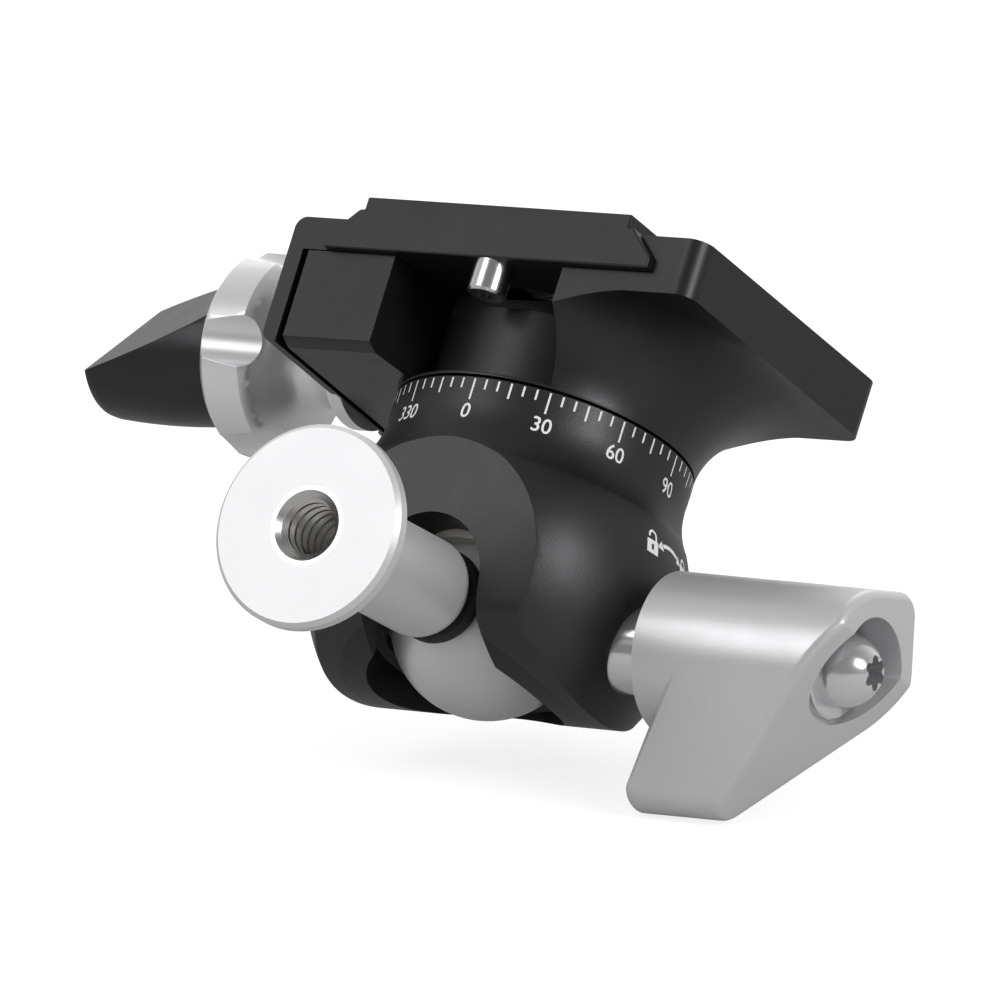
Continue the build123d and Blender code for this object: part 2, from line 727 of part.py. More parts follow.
with BuildPart() as clamp_knob:
    with BuildSketch(Plane.XZ):
        with BuildLine():
            Polyline((nut_r, 0), (knob_foot_r, 0), (knob_foot_r, knob_foot_height))
            Spline(
                (knob_foot_r, knob_foot_height), (knob_waist_r, knob_waist_at),
                (knob_r - knob_edge, knob_flare_at), tangents=[(-1, 0.6), (1, 0.35)],
            )
            Polyline(
                (knob_r - knob_edge, knob_flare_at), (knob_r, knob_flare_at + knob_edge),
                (knob_r, knob_end - knob_edge), (knob_r - knob_edge, knob_end),
                (rod_r + guide_fit, knob_end), (rod_r + guide_fit, nut_length),
                (nut_r, nut_length), (nut_r, 0),
            )
        make_face()
    revolve(axis=Axis.Z)
    for lobe in range(knob_lobes):
        around = radians(knob_turn + lobe * 360 / knob_lobes)
        lean = radians(scallop_tilt)
        outward = Vector(cos(around), sin(around), 0)
        foot = outward * scallop_place + Vector(0, 0, knob_end)
        way = outward * -sin(lean) + Vector(0, 0, -cos(lean))
        with BuildSketch(Plane(origin=foot - way * 2, z_dir=way)):
            Circle(scallop_r)
        extrude(amount=knob_end, mode=Mode.SUBTRACT)
save(clamp_knob, "clamp_knob", knob_axis)

with BuildPart() as knob_nut:
    with BuildSketch(Plane.XY):
        Circle(nut_r)
        Circle(rod_r + guide_fit, mode=Mode.SUBTRACT)
    extrude(amount=nut_length)
save(knob_nut, "knob_nut", knob_axis)

wing_start = knob_end + wing_gap
wing_end = wing_start + wing_length
flat_way = radians(180.0 - wing_flat_turn)
with BuildPart() as locking_wing:
    with BuildSketch(Plane.XZ):
        with BuildLine():
            Polyline(
                (wing_r - wing_end_edge, wing_end), (0, wing_end), (0, wing_start),
                (wing_r - 2 * wing_bulge, wing_start),
            )
            ThreePointArc(
                (wing_r - 2 * wing_bulge, wing_start), (wing_r + wing_bulge, wing_start + 0.5 * wing_length),
                (wing_r - wing_bulge, wing_end - wing_nose),
            )
            Line((wing_r - wing_bulge, wing_end - wing_nose), (wing_r - wing_end_edge, wing_end))
        make_face()
    revolve(axis=Axis.Z)
    flat_plane = Plane(
        origin=(0, 0, 0), x_dir=(cos(flat_way), -sin(flat_way), 0), z_dir=(sin(flat_way), cos(flat_way), 0)
    )
    with BuildSketch(flat_plane):
        steep = (wing_flat_high - wing_flat_low) / wing_length
        drawn([
            (wing_flat_high + steep, 1 - wing_start), (2 * wing_r, 1 - wing_start),
            (2 * wing_r, -wing_end - 1), (wing_flat_low - steep, -wing_end - 1),
        ])
    extrude(amount=2 * wing_r, both=True, mode=Mode.SUBTRACT)
    with BuildSketch(Plane.XY.offset(wing_start)):
        Circle(rod_r + guide_fit)
    extrude(amount=rod_in_wing + wing_gap, mode=Mode.SUBTRACT)
save(locking_wing, "locking_wing", knob_axis)

# ---- dovetail plate and its fittings --------------------------------------------------

plate_floor = seat_height + plate_gap
plate_top = plate_floor + plate_thick
slope_top = plate_floor + plate_lip + plate_slope
with BuildPart() as dovetail_plate:
    with BuildSketch(Plane.XZ):
        half = [
            (plate_half_width, plate_floor), (plate_half_width, plate_floor + plate_lip),
            (plate_half_width - plate_slope, slope_top),
            (plate_half_width - plate_slope - plate_step, slope_top),
            (plate_half_width - plate_slope - plate_step, plate_top),
        ]
        drawn(half + [(-x, z) for x, z in reversed(half)])
    extrude(amount=plate_half_length, both=True)
    with BuildSketch(Plane.XY.offset(plate_floor)):
        SlotOverall(2 * slot_half_length, 2 * slot_half_width, rotation=90)
    extrude(amount=plate_thick, mode=Mode.SUBTRACT)
    with BuildSketch(Plane.XY.offset(plate_floor)):
        SlotOverall(2 * slot_shoulder_length, 2 * slot_shoulder_width, rotation=90)
    extrude(amount=slot_shoulder_depth, mode=Mode.SUBTRACT)
    with BuildSketch(Plane.XY.offset(plate_floor)):
        with Locations((0, -stop_place), (0, stop_place)):
            Circle(stop_shank_r)
    extrude(amount=stop_shank_length, mode=Mode.SUBTRACT)
    with BuildSketch(Plane.XY.offset(plate_top)):
        with Locations((-pad_strip_x, 0), (pad_strip_x, 0)):
            SlotOverall(pad_strip_length, pad_strip_width, rotation=90)
    extrude(amount=-pad_strip_depth, mode=Mode.SUBTRACT)
save(dovetail_plate, "dovetail_plate", clamp)

with BuildPart() as plate_pads:
    with BuildSketch(Plane.XY.offset(plate_top - pad_strip_depth)):
        with Locations((-pad_strip_x, 0), (pad_strip_x, 0)):
            SlotOverall(pad_strip_length, pad_strip_width, rotation=90)
    extrude(amount=pad_strip_depth + pad_strip_rise)
save(plate_pads, "plate_pads", clamp)

screw_ceiling = plate_floor + slot_shoulder_depth
with BuildPart() as camera_screw:
    with BuildSketch(Plane.XY.offset(screw_ceiling - camera_head_thick)):
        Circle(camera_head_r)
    extrude(amount=camera_head_thick - washer_gap)
    chamfer(camera_screw.edges().group_by(Axis.Z)[0], camera_head_chamfer)
    with BuildSketch(Plane.XY.offset(screw_ceiling - camera_head_thick)):
        Circle(camera_neck_r)
    extrude(amount=plate_top - screw_ceiling + camera_head_thick)
    with BuildSketch(Plane.XY.offset(plate_top)):
        Circle(quarter_inch_r)
    extrude(amount=camera_thread_rise)
    chamfer(camera_screw.edges().group_by(Axis.Z)[-1], camera_thread_chamfer)
    with BuildSketch(Plane.XY.offset(screw_ceiling - camera_head_thick)):
        Rectangle(coin_slot, 2 * camera_head_r + 1)
    extrude(amount=coin_slot_depth, mode=Mode.SUBTRACT)
save(camera_screw, "camera_screw", clamp)

with BuildPart() as stop_screws:
    with BuildSketch(Plane.XY.offset(plate_floor - stop_head_height)):
        with Locations((0, -stop_place), (0, stop_place)):
            Circle(stop_head_r)
    extrude(amount=stop_head_height)
    chamfer(stop_screws.edges().group_by(Axis.Z)[0], stop_chamfer)
    with BuildSketch(Plane.XY.offset(plate_floor)):
        with Locations((0, -stop_place), (0, stop_place)):
            Circle(stop_shank_r)
    extrude(amount=stop_shank_length)
    with BuildSketch(Plane.XY.offset(plate_floor - stop_head_height)):
        for side in (-1, 1):
            with Locations((0, side * stop_place)):
                six_lobes(stop_driver_r, stop_driver_lobe)
    extrude(amount=stop_driver_depth, mode=Mode.SUBTRACT)
save(stop_screws, "stop_screws", clamp)
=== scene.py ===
# %% [markdown]
# # An inverted tripod ball head, dressed for its portrait
#
# The machined shapes of this head come from its CAD model: ball and stem, round housing,
# lock lever, clamp, knob and camera plate. Blender adds what solids leave out: softened
# edges that catch the light, a real thread in the tripod hole, the printed dial, and a
# finish for every metal and plastic.
# The scene is in metres, and +Z is the way of the axis that the clamp pans about. Sizes
# below are in millimetres, and are multiplied by MM on their way into the scene.

# %% Load the machined pieces
import json
from math import cos, pi, radians, sin

import bpy
from mathutils import Matrix, Vector

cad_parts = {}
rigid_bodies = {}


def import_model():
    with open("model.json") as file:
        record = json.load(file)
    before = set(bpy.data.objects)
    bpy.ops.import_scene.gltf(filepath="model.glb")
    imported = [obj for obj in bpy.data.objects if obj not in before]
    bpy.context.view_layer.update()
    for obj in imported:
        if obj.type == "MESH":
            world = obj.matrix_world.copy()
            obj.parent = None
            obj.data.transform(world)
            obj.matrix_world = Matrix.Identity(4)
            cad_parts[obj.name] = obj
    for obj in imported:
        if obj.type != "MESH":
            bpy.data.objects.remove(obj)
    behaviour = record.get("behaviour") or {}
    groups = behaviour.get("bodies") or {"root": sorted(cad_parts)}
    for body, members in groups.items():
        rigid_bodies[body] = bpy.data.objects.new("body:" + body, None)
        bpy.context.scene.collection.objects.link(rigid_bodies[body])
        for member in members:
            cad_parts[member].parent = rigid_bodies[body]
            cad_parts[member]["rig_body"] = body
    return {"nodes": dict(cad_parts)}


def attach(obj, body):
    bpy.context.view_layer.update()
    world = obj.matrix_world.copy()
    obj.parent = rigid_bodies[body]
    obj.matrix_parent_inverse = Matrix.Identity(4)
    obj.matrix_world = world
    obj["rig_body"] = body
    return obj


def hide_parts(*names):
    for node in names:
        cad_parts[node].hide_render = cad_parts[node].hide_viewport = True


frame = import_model()
bpy.context.scene.view_settings.view_transform = "Standard"
nodes = frame["nodes"]
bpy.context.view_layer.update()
body_of_node = {o.name: o["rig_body"] for o in nodes.values()}
print(len(nodes), "machined pieces loaded")

# %% [markdown]
# ## The head's own directions
#
# Four axes carry nearly everything: the stem's, the pan's, the ball lock's and the clamp
# screw's. Their places are the CAD model's own, so turned finishes can run round them
# and new pieces can be set on them.

# %% Axes of the head
MM = 0.001
stem_reach = 36.5 * MM       # disc face to ball centre
ball_drop = 19.3 * MM        # pan seam to ball centre
lock_drop = 20.6 * MM        # pan seam to the ball lock's axis
screw_rise = 7.0 * MM        # pan seam to the clamp screw
stem_dip = radians(9.6)
clamp_turn = radians(-4.0)

up = Vector((0, 0, 1))
stem_way = Vector((0, cos(stem_dip), sin(stem_dip)))
lock_way = Vector((1, 0, 0))
screw_way = Vector((-cos(clamp_turn), -sin(clamp_turn), 0))
disc_centre = Vector((0, 0, 0))
ball_centre = stem_way * stem_reach
seam_centre = ball_centre + up * ball_drop

stem_axis = (disc_centre, stem_way)
pan_axis = (seam_centre, up)
lock_axis = (seam_centre - up * lock_drop, lock_way)
screw_axis = (seam_centre + up * screw_rise, screw_way)
print("ball at", [round(c / MM, 2) for c in ball_centre], "mm")


# %% [markdown]
# ## A place to begin each finish
#
# A metal finish on a small machined part is mostly in its roughness and in marks
# finer than a tenth of a millimetre. All finishes start from the same shader with the
# piece's Object coordinates, because these pieces keep their place in their mesh.
# Most of the colours are greys with a trace of blue, so one helper names them.

# %% Start a finish
def begin_finish(name, metal, roughness):
    """A new material, and its tree, shader and Object coordinates."""
    finish = bpy.data.materials.new(name)
    finish.use_nodes = True
    tree = finish.node_tree
    shader = tree.nodes["Principled BSDF"]
    shader.inputs["Metallic"].default_value = metal
    shader.inputs["Roughness"].default_value = roughness
    place = tree.nodes.new("ShaderNodeTexCoord")
    return finish, tree, shader, place.outputs["Object"]


def noise(tree, where, size_mm, detail=2.0):
    """Noise whose blotches are about size_mm across."""
    grain = tree.nodes.new("ShaderNodeTexNoise")
    grain.inputs["Scale"].default_value = 1 / (size_mm * MM)
    grain.inputs["Detail"].default_value = detail
    tree.links.new(where, grain.inputs["Vector"])
    return grain.outputs["Fac"]


def grey(dark, light, blue=0.01):
    """Two close greys, each a little bluer than neutral."""
    return (dark, dark, dark + blue), (light, light, light + blue)


def tint(tree, shader, amount, shades):
    """Let the colour wander between two close shades."""
    ramp = tree.nodes.new("ShaderNodeValToRGB")
    for stop, shade in zip(ramp.color_ramp.elements, shades):
        stop.color = (*shade, 1)
    tree.links.new(amount, ramp.inputs["Fac"])
    tree.links.new(ramp.outputs["Color"], shader.inputs["Base Color"])


def vary_roughness(tree, shader, amount, roughness):
    """Let the roughness wander between a low and a high value."""
    low, high = roughness
    span = tree.nodes.new("ShaderNodeMapRange")
    span.inputs["To Min"].default_value = low
    span.inputs["To Max"].default_value = high
    tree.links.new(amount, span.inputs["Value"])
    tree.links.new(span.outputs["Result"], shader.inputs["Roughness"])


def relief(tree, shader, height, depth_mm):
    """Raise and sink the surface by about depth_mm."""
    bump = tree.nodes.new("ShaderNodeBump")
    bump.inputs["Distance"].default_value = depth_mm * MM
    bump.inputs["Strength"].default_value = 1.0
    tree.links.new(height, bump.inputs["Height"])
    tree.links.new(bump.outputs["Normal"], shader.inputs["Normal"])


# %% [markdown]
# ## Bead-blasted anodising
#
# The housing, the clamp and its plate are aluminium, blasted with fine glass beads and
# dyed black. Up close the surface is a field of tiny dimples; from afar it is an even
# satin, nearly black, that turns grey where it mirrors a lamp. Black paint would look
# like plastic, because only a metal mirrors with its whole colour. So these blacks are
# dark metals, with a fine noise in the relief and slower ones in shade and roughness.

# %% Blasted metal
shade_patch = 9.0            # across a patch of one shade
dull_patch = 3.0             # and across a duller patch


def blasted(name, shades, metal, roughness, bead_mm, depth_mm):
    """Fine dimples of bead_mm, in a colour that wanders slowly."""
    finish, tree, shader, where = begin_finish(name, metal, roughness[0])
    tint(tree, shader, noise(tree, where, shade_patch), shades)
    vary_roughness(tree, shader, noise(tree, where, dull_patch), roughness)
    relief(tree, shader, noise(tree, where, bead_mm, detail=3.0), depth_mm)
    return finish


black_metal = 0.93
housing_black = blasted(
    "housing_black", grey(0.052, 0.066, blue=0.002),
    metal=black_metal, roughness=(0.40, 0.48), bead_mm=0.24, depth_mm=0.014,
)
clamp_black = blasted(
    "clamp_black", grey(0.044, 0.056, blue=0.002),
    metal=black_metal, roughness=(0.36, 0.44), bead_mm=0.18, depth_mm=0.010,
)
plate_black = blasted(
    "plate_black", grey(0.046, 0.058, blue=0.002),
    metal=black_metal, roughness=(0.40, 0.48), bead_mm=0.20, depth_mm=0.010,
)
wing_black = blasted(
    "wing_black", grey(0.040, 0.052, blue=0.002),
    metal=black_metal, roughness=(0.36, 0.44), bead_mm=0.18, depth_mm=0.010,
)
ring_black = blasted(
    "ring_black", grey(0.040, 0.052, blue=0.002),
    metal=black_metal, roughness=(0.40, 0.48), bead_mm=0.16, depth_mm=0.008,
)
lever_silver = blasted(
    "lever_silver", grey(0.63, 0.69),
    metal=0.62, roughness=(0.36, 0.44), bead_mm=0.16, depth_mm=0.010,
)
print("six blasted finishes")

# %% [markdown]
# ## Turned metal
#
# The ball, stem and disc, the knob, the collar and the screws come off a lathe. A lathe
# tool leaves fine rings round the axis, which draw the highlights out across them. The
# noise is read from the distance to the axis and the place along it, so it makes rings
# on flat faces and on round walls alike. A Mapping node puts the axis in its place.

# %% Turned metal
def from_axis(tree, where, axis):
    """Distance from an axis and place along it, as a vector; then the place seen from it."""
    point, way = axis
    settle = tree.nodes.new("ShaderNodeMapping")
    settle.vector_type = "TEXTURE"
    settle.inputs["Location"].default_value = point
    settle.inputs["Rotation"].default_value = way.to_track_quat("Z", "Y").to_euler()
    tree.links.new(where, settle.inputs["Vector"])
    parts = tree.nodes.new("ShaderNodeSeparateXYZ")
    tree.links.new(settle.outputs["Vector"], parts.inputs[0])
    flat = tree.nodes.new("ShaderNodeCombineXYZ")
    tree.links.new(parts.outputs["X"], flat.inputs["X"])
    tree.links.new(parts.outputs["Y"], flat.inputs["Y"])
    reach = tree.nodes.new("ShaderNodeVectorMath")
    reach.operation = "LENGTH"
    tree.links.new(flat.outputs[0], reach.inputs[0])
    both = tree.nodes.new("ShaderNodeCombineXYZ")
    tree.links.new(reach.outputs["Value"], both.inputs["X"])
    tree.links.new(parts.outputs["Z"], both.inputs["Y"])
    return both.outputs[0], parts


turned_patch = 6.0           # across a patch of one shade


def turned(name, axis, shades, metal, roughness, ring_mm, depth_mm):
    """Fine rings round an axis."""
    finish, tree, shader, where = begin_finish(name, metal, roughness[0])
    rings = noise(tree, from_axis(tree, where, axis)[0], ring_mm, detail=3.0)
    tint(tree, shader, noise(tree, where, turned_patch), shades)
    vary_roughness(tree, shader, rings, roughness)
    relief(tree, shader, rings, depth_mm)
    return finish


stem_silver = turned(
    "stem_silver", stem_axis, grey(0.66, 0.71),
    metal=0.50, roughness=(0.34, 0.45), ring_mm=0.12, depth_mm=0.0025,
)
knob_silver = turned(
    "knob_silver", screw_axis, grey(0.76, 0.82),
    metal=0.65, roughness=(0.28, 0.38), ring_mm=0.10, depth_mm=0.0018,
)
collar_steel = turned(
    "collar_steel", lock_axis, grey(0.74, 0.80),
    metal=0.90, roughness=(0.10, 0.22), ring_mm=0.20, depth_mm=0.002,
)
screw_steel = turned(
    "screw_steel", lock_axis, grey(0.70, 0.77),
    metal=0.85, roughness=(0.14, 0.26), ring_mm=0.15, depth_mm=0.002,
)
stop_steel = turned(
    "stop_steel", pan_axis, grey(0.62, 0.70),
    metal=1.0, roughness=(0.16, 0.28), ring_mm=0.15, depth_mm=0.002,
)
axle_steel = turned(
    "axle_steel", pan_axis, grey(0.46, 0.54),
    metal=1.0, roughness=(0.24, 0.36), ring_mm=0.15, depth_mm=0.003,
)
pin_steel = turned(
    "pin_steel", screw_axis, grey(0.52, 0.60),
    metal=1.0, roughness=(0.16, 0.26), ring_mm=0.20, depth_mm=0.002,
)
thread_steel = turned(
    "thread_steel", stem_axis, ((0.52, 0.51, 0.50), (0.62, 0.61, 0.60)),
    metal=1.0, roughness=(0.22, 0.34), ring_mm=0.15, depth_mm=0.003,
)
nut_brass = turned(
    "nut_brass", screw_axis, ((0.56, 0.40, 0.16), (0.64, 0.47, 0.20)),
    metal=1.0, roughness=(0.22, 0.34), ring_mm=0.15, depth_mm=0.003,
)
brake_brass = turned(
    "brake_brass", lock_axis, ((0.54, 0.38, 0.15), (0.62, 0.45, 0.19)),
    metal=1.0, roughness=(0.24, 0.36), ring_mm=0.15, depth_mm=0.003,
)
print("ten turned finishes")


# %% [markdown]
# ## Threads too fine to cut
#
# The clamp screw's thread hides in the knob and shows a little when the jaws open. Its
# ridge is a wave whose phase turns once round per pitch, so the relief is a true helix.

# %% Threaded steel
def threaded(name, axis, shades, pitch_mm, depth_mm):
    """A helical ridge in the relief, with one turn per pitch."""
    finish, tree, shader, where = begin_finish(name, metal=1.0, roughness=0.28)
    parts = from_axis(tree, where, axis)[1]
    angle = tree.nodes.new("ShaderNodeMath")
    angle.operation = "ARCTAN2"
    tree.links.new(parts.outputs["Y"], angle.inputs[0])
    tree.links.new(parts.outputs["X"], angle.inputs[1])
    travel = tree.nodes.new("ShaderNodeMath")
    travel.operation = "MULTIPLY"
    travel.inputs[1].default_value = 2 * pi / (pitch_mm * MM)
    tree.links.new(parts.outputs["Z"], travel.inputs[0])
    phase = tree.nodes.new("ShaderNodeMath")
    phase.operation = "SUBTRACT"
    tree.links.new(travel.outputs[0], phase.inputs[0])
    tree.links.new(angle.outputs[0], phase.inputs[1])
    ridge = tree.nodes.new("ShaderNodeMath")
    ridge.operation = "SINE"
    tree.links.new(phase.outputs[0], ridge.inputs[0])
    tint(tree, shader, noise(tree, where, size_mm=2.0), shades)
    relief(tree, shader, ridge.outputs[0], depth_mm)
    return finish


rod_steel = threaded("rod_steel", screw_axis, grey(0.42, 0.52), pitch_mm=0.8, depth_mm=0.12)
spring_steel = blasted(
    "spring_steel", grey(0.34, 0.42),
    metal=1.0, roughness=(0.26, 0.36), bead_mm=0.10, depth_mm=0.002,
)
print("thread and spring steel")

# %% [markdown]
# ## Plastic and rubber
#
# Bearing plastic is milky and smooth with a little light inside it. Rubber is nearly
# black, dull, and faintly grained. The plate's strips have a fine ribbed grain that grips
# the camera.

# %% Plastic and rubber
bearing_white = blasted(
    "bearing_white", ((0.60, 0.58, 0.50), (0.66, 0.64, 0.56)),
    metal=0.0, roughness=(0.42, 0.52), bead_mm=0.6, depth_mm=0.003,
)
milk = bearing_white.node_tree.nodes["Principled BSDF"]
milk.inputs["Subsurface Weight"].default_value = 0.08
milk.inputs["Subsurface Scale"].default_value = 0.5 * MM
bumper_rubber = blasted(
    "bumper_rubber", grey(0.012, 0.020, blue=0.0),
    metal=0.0, roughness=(0.62, 0.75), bead_mm=0.25, depth_mm=0.012,
)

wave_scale = 2 * pi / 20     # a Wave texture of scale 1 has waves this long


def ribbed_rubber(name, shades, rib_mm, depth_mm):
    """Ribs across the plate, which is turned a little on the pan axis."""
    finish, tree, shader, where = begin_finish(name, metal=0.0, roughness=0.7)
    turn = tree.nodes.new("ShaderNodeMapping")
    turn.inputs["Rotation"].default_value = (0, 0, -clamp_turn)
    tree.links.new(where, turn.inputs["Vector"])
    ribs = tree.nodes.new("ShaderNodeTexWave")
    ribs.bands_direction = "Y"
    ribs.inputs["Scale"].default_value = wave_scale / (rib_mm * MM)
    tree.links.new(turn.outputs["Vector"], ribs.inputs["Vector"])
    tint(tree, shader, noise(tree, where, size_mm=1.0), shades)
    relief(tree, shader, ribs.outputs["Fac"], depth_mm)
    return finish


pad_rubber = ribbed_rubber("pad_rubber", grey(0.013, 0.021, blue=0.0), rib_mm=0.8, depth_mm=0.12)
print("plastic and two rubbers")

# %% [markdown]
# ## Print on the housing
#
# The dial and the little padlocks are white ink, laid two hundredths of a millimetre
# above the metal. Ink on a blasted surface takes a little of its grain, and isn't pure
# white.

# %% Ink
dial_ink = blasted(
    "dial_ink", grey(0.74, 0.80, blue=-0.01),
    metal=0.0, roughness=(0.50, 0.60), bead_mm=0.20, depth_mm=0.004,
)
print("ink mixed")

# %% Give each machined piece its finish
finishes = {
    "ball_stem": stem_silver, "bumper_ring": bumper_rubber, "thread_insert": thread_steel,
    "housing": housing_black, "retaining_ring": ring_black, "lower_race": bearing_white,
    "pressure_cup": bearing_white, "brake_pad": brake_brass, "lock_bush": collar_steel,
    "lock_shaft": axle_steel, "lock_lever": lever_silver, "lever_washer": screw_steel,
    "lever_screw": screw_steel, "pan_washer": bearing_white, "pan_spring": spring_steel,
    "pan_axle": axle_steel, "clamp_base": clamp_black, "moving_jaw": clamp_black,
    "guide_pins": pin_steel, "jaw_springs": spring_steel, "clamp_rod": rod_steel,
    "clamp_knob": knob_silver, "knob_nut": nut_brass, "locking_wing": wing_black,
    "dovetail_plate": plate_black, "plate_pads": pad_rubber, "camera_screw": stop_steel,
    "stop_screws": stop_steel,
}
for name, finish in finishes.items():
    nodes[name].data.materials.clear()
    nodes[name].data.materials.append(finish)
print(len(finishes), "finishes given")

# %% [markdown]
# ## Edges that catch the light
#
# No machined edge is perfectly sharp: each is broken with a tiny chamfer so that it
# doesn't cut the hand, and on black anodising that chamfer is what draws the shape. The
# CAD mesh is left alone. A copy is welded, its flat faces are joined, and a Bevel
# modifier breaks every edge that turns by more than a set angle. The small new faces
# would bend the light on the large ones, so a Weighted Normal modifier lets these lead.

# %% Break the edges of a machined piece
def only(*objects):
    """Deselect everything, then select these and make the last one active."""
    bpy.ops.object.select_all(action="DESELECT")
    for o in objects:
        o.select_set(True)
        bpy.context.view_layer.objects.active = o


weld_gap = 0.001 * MM
flat_turn = radians(0.4)     # faces that turn by less are one flat face
edge_turn = radians(32)      # edges that turn by more are broken
smooth_turn = radians(30)


def break_edges(node, width_mm):
    """Dress a machined piece in a copy of itself whose edges are broken."""
    piece = nodes[node].copy()
    piece.data = nodes[node].data.copy()
    piece.name = node + "_edged"
    piece.parent = None
    for mark in [k for k in piece.keys() if k.startswith("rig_")]:
        del piece[mark]
    bpy.context.collection.objects.link(piece)
    only(piece)
    bpy.ops.object.mode_set(mode="EDIT")
    bpy.ops.mesh.select_all(action="SELECT")
    bpy.ops.mesh.remove_doubles(threshold=weld_gap)
    bpy.ops.mesh.dissolve_limited(angle_limit=flat_turn)
    bpy.ops.object.mode_set(mode="OBJECT")
    bevel = piece.modifiers.new("broken_edges", "BEVEL")
    bevel.limit_method = "ANGLE"
    bevel.angle_limit = edge_turn
    bevel.width = width_mm * MM
    bevel.segments = 2
    bpy.ops.object.modifier_apply(modifier=bevel.name)
    bpy.ops.object.shade_smooth_by_angle(angle=smooth_turn)
    lead = piece.modifiers.new("large_faces_lead", "WEIGHTED_NORMAL")
    lead.weight = 100
    lead.keep_sharp = True
    bpy.ops.object.modifier_apply(modifier=lead.name)
    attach(piece, body_of_node[node])
    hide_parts(node)
    print(piece.name, len(piece.data.polygons), "faces")
    return piece


edge_widths = {
    "housing": 0.22, "retaining_ring": 0.12, "clamp_base": 0.25, "moving_jaw": 0.25,
    "dovetail_plate": 0.22, "locking_wing": 0.25, "clamp_knob": 0.25, "lock_lever": 0.2,
}
for node, width in edge_widths.items():
    break_edges(node, width)

# %% [markdown]
# ## The tripod thread
#
# The steel insert in the disc has a quarter-inch thread, twenty turns to the inch, and
# the photograph looks right into it. A tube is cut with a V-shaped tool that is wound
# into a helix: the same thing a tap does. The tool's V is a little narrower than the
# pitch, so a thin crest is left between the turns. The screw that holds the camera has
# the same thread, cut from outside by a tool whose V points inward, as a die's does.

# %% A helical cutting tool
thread_pitch = 25.4 / 20
thread_crest = 0.12
steps_per_turn = 40


def wound_tool(name, point_mm, back_mm, start_mm, turns):
    """A V-section wound about Z, with its point on one radius and its back on another."""
    half = (thread_pitch - thread_crest) / 2 * MM
    bpy.ops.mesh.primitive_circle_add(vertices=3, radius=MM, location=(0, 0, 0))
    tool = bpy.context.object
    tool.name = name
    corners = [(point_mm * MM, 0, 0), (back_mm * MM, 0, half), (back_mm * MM, 0, -half)]
    for vertex, corner in zip(tool.data.vertices, corners):
        vertex.co = Vector(corner) + Vector((0, 0, start_mm * MM))
    winding = tool.modifiers.new("winding", "SCREW")
    winding.axis = "Z"
    winding.steps = winding.render_steps = steps_per_turn
    winding.iterations = turns
    winding.screw_offset = thread_pitch * MM
    winding.use_merge_vertices = True
    winding.merge_threshold = weld_gap / 2
    only(tool)
    bpy.ops.object.modifier_apply(modifier="winding")
    bpy.ops.object.mode_set(mode="EDIT")
    bpy.ops.mesh.select_all(action="DESELECT")
    bpy.context.tool_settings.mesh_select_mode = (False, True, False)
    bpy.ops.mesh.select_non_manifold()
    bpy.ops.mesh.fill_holes(sides=3)
    bpy.ops.mesh.select_all(action="SELECT")
    bpy.ops.mesh.normals_make_consistent(inside=False)
    bpy.ops.object.mode_set(mode="OBJECT")
    return tool


def cut(piece, tool):
    """Take the tool's shape out of a piece."""
    carve = piece.modifiers.new("carve", "BOOLEAN")
    carve.operation = "DIFFERENCE"
    carve.object = tool
    carve.solver = "EXACT"
    only(piece)
    bpy.ops.object.modifier_apply(modifier="carve")
    bpy.data.objects.remove(tool)


# %% A blank tube for the insert
insert_r, insert_length = 4.0, 9.0
tap_hole_r = 2.62            # inside the crests
around = 64


def cylinder(name, radius_mm, length_mm):
    """A cylinder that stands on the level of Z 0."""
    bpy.ops.mesh.primitive_cylinder_add(
        vertices=around, radius=radius_mm * MM, depth=length_mm * MM,
        location=(0, 0, length_mm / 2 * MM),
    )
    bar = bpy.context.object
    bar.name = name
    return bar


insert = cylinder("tapped_insert", insert_r, insert_length)
bore = cylinder("bore", tap_hole_r, 2 * insert_length)
bore.location.z = insert_length / 2 * MM
cut(insert, bore)
print("insert's blank", len(insert.data.polygons), "faces")

# %% Stand a piece on an axis
def along(point, way):
    """The place and turn that stand a piece made about Z on a point, along a way."""
    return Matrix.Translation(point) @ way.to_track_quat("Z", "Y").to_matrix().to_4x4()


def put(piece, at):
    """Move a piece, and leave its origin at the head's."""
    only(piece)
    bpy.ops.object.transform_apply(location=True, rotation=True, scale=True)
    piece.matrix_world = at
    bpy.context.view_layer.update()
    bpy.ops.object.transform_apply(location=True, rotation=True, scale=True)


# %% Cut the insert's thread
tap_point, tap_back = 3.2, 2.45
tap_start, tap_turns = -1.9, 9          # the start is in front of the disc's face
mouth_wide_r, mouth_narrow_r = 3.85, 2.2
mouth_start, mouth_depth = -0.3, 1.65

cut(insert, wound_tool("tap", tap_point, tap_back, tap_start, tap_turns))
bpy.ops.mesh.primitive_cone_add(
    vertices=around, radius1=mouth_wide_r * MM, radius2=mouth_narrow_r * MM,
    depth=mouth_depth * MM, location=(0, 0, (mouth_start + mouth_depth / 2) * MM),
)
cut(insert, bpy.context.object)
put(insert, along(disc_centre, stem_way))
bpy.ops.object.shade_smooth_by_angle(angle=smooth_turn)
insert.data.materials.clear()
insert.data.materials.append(thread_steel)
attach(insert, "stem")
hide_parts("thread_insert")
print(insert.name, len(insert.data.polygons), "faces")

# %% Cut the camera screw's thread
screw_edge = 0.1
die_point, die_back = 2.52, 3.7
die_start, die_turns = 15.9, 6          # the start is above the pan seam

camera_screw = break_edges("camera_screw", screw_edge)
die = wound_tool("die", die_point, die_back, die_start, die_turns)
die.location = seam_centre
cut(camera_screw, die)
only(camera_screw)
bpy.ops.object.shade_smooth_by_angle(angle=smooth_turn)
print("camera screw", len(camera_screw.data.polygons), "faces")

